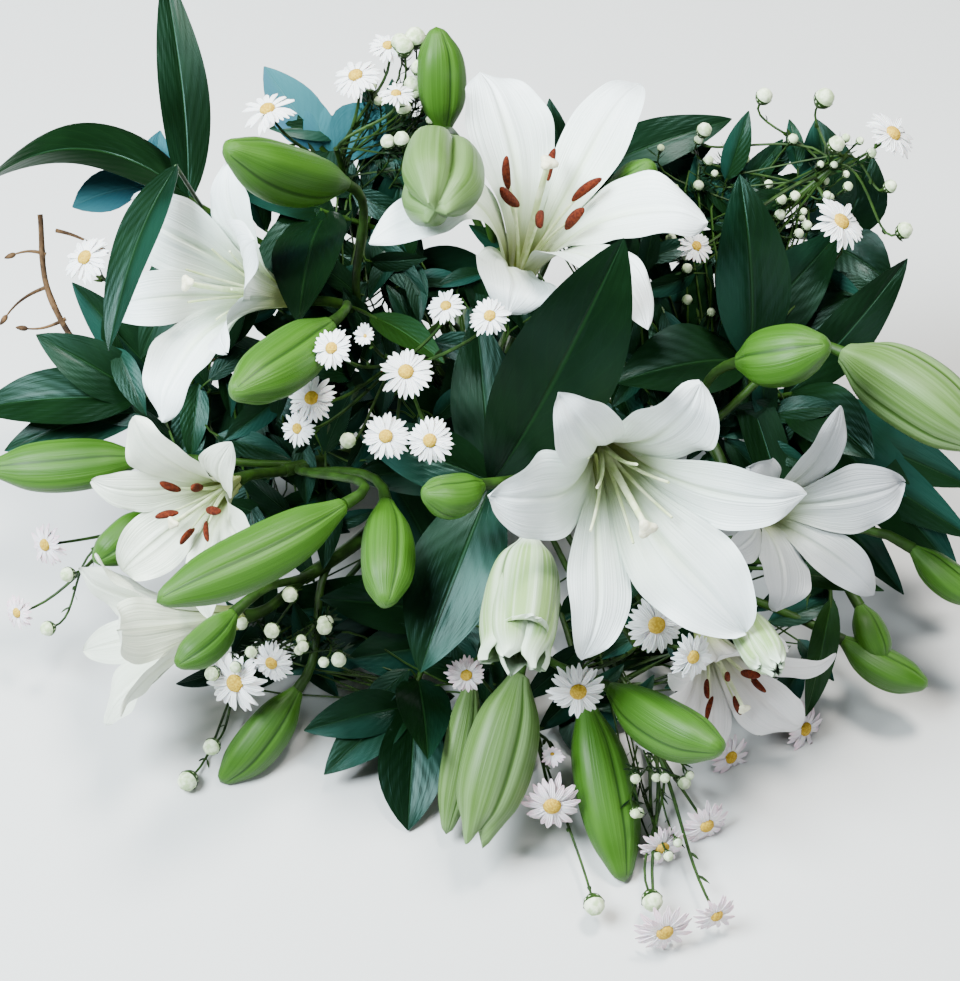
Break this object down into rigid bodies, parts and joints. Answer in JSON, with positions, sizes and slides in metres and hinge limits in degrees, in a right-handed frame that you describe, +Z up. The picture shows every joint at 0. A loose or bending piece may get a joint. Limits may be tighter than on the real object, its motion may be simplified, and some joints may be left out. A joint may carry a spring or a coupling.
{
  "type": "lily bouquet",
  "caption": "Hand-tied bouquet of open white lilies, buds, small asters, eucalyptus and glossy leaves on spiralled stems held by a wound cord, laid down with its flowers up.",
  "frame": {"origin": "on the table under the middle of the bouquet's box", "axes": "+Z up from the table, +X to the right of someone who looks at the flowers, +Y back towards the cut stem ends"},
  "size_m": [0.5492, 0.4508, 0.3056],
  "materials": {
    "white_tepal": "satin",
    "pale_bud": "satin",
    "green_stem": "satin",
    "glossy_leaf": "glossy",
    "blue_leaf": "matte",
    "aster": "matte",
    "anther": "powdery",
    "bark": "rough",
    "cord": "rough"
  },
  "bodies": {
    "root": {"lily_bloom_top": "white_tepal", "lily_bloom_left": "white_tepal", "lily_bloom_lower_left": "white_tepal", "lily_bloom_middle": "white_tepal", "lily_bloom_right": "white_tepal", "lily_bloom_lower_right": "white_tepal", "lily_bloom_far_left": "white_tepal", "lily_stamens_top": "anther", "lily_stamens_left": "anther", "lily_stamens_lower_left": "anther", "lily_stamens_middle": "anther", "lily_stamens_lower_right": "anther", "lily_opening_bud_top": "pale_bud", "lily_opening_bud_middle": "pale_bud", "lily_opening_bud_lower_right": "pale_bud", "lily_stem_middle": "green_stem", "lily_stem_top": "green_stem", "lily_stem_left": "green_stem", "lily_stem_lower_left": "green_stem", "lily_stem_far_left": "green_stem", "lily_stem_bottom": "green_stem", "lily_stem_lower_right": "green_stem", "lily_stem_right": "green_stem", "leafy_stem_upper_left": "glossy_leaf", "leafy_stem_upper_middle": "glossy_leaf", "leafy_stem_left": "glossy_leaf", "leafy_stem_middle": "glossy_leaf", "leafy_stem_upper_right": "glossy_leaf", "leafy_stem_right": "glossy_leaf", "leafy_stem_far_right": "glossy_leaf", "leafy_stem_bottom": "glossy_leaf", "leafy_stem_lower_right": "glossy_leaf", "leafy_stem_top": "glossy_leaf", "eucalyptus_sprig_upper_left": "blue_leaf", "eucalyptus_sprig_top_left": "blue_leaf", "aster_spray_upper_left": "aster", "aster_spray_left": "aster", "aster_spray_upper_right": "aster", "aster_spray_middle": "aster", "aster_spray_middle_right": "aster", "aster_spray_bottom": "aster", "aster_spray_bottom_right": "aster", "aster_spray_lower_right": "aster", "aster_spray_lower_left": "aster", "aster_spray_far_left": "aster", "twig": "bark", "tie": "cord"}
  },
  "joints": []
}
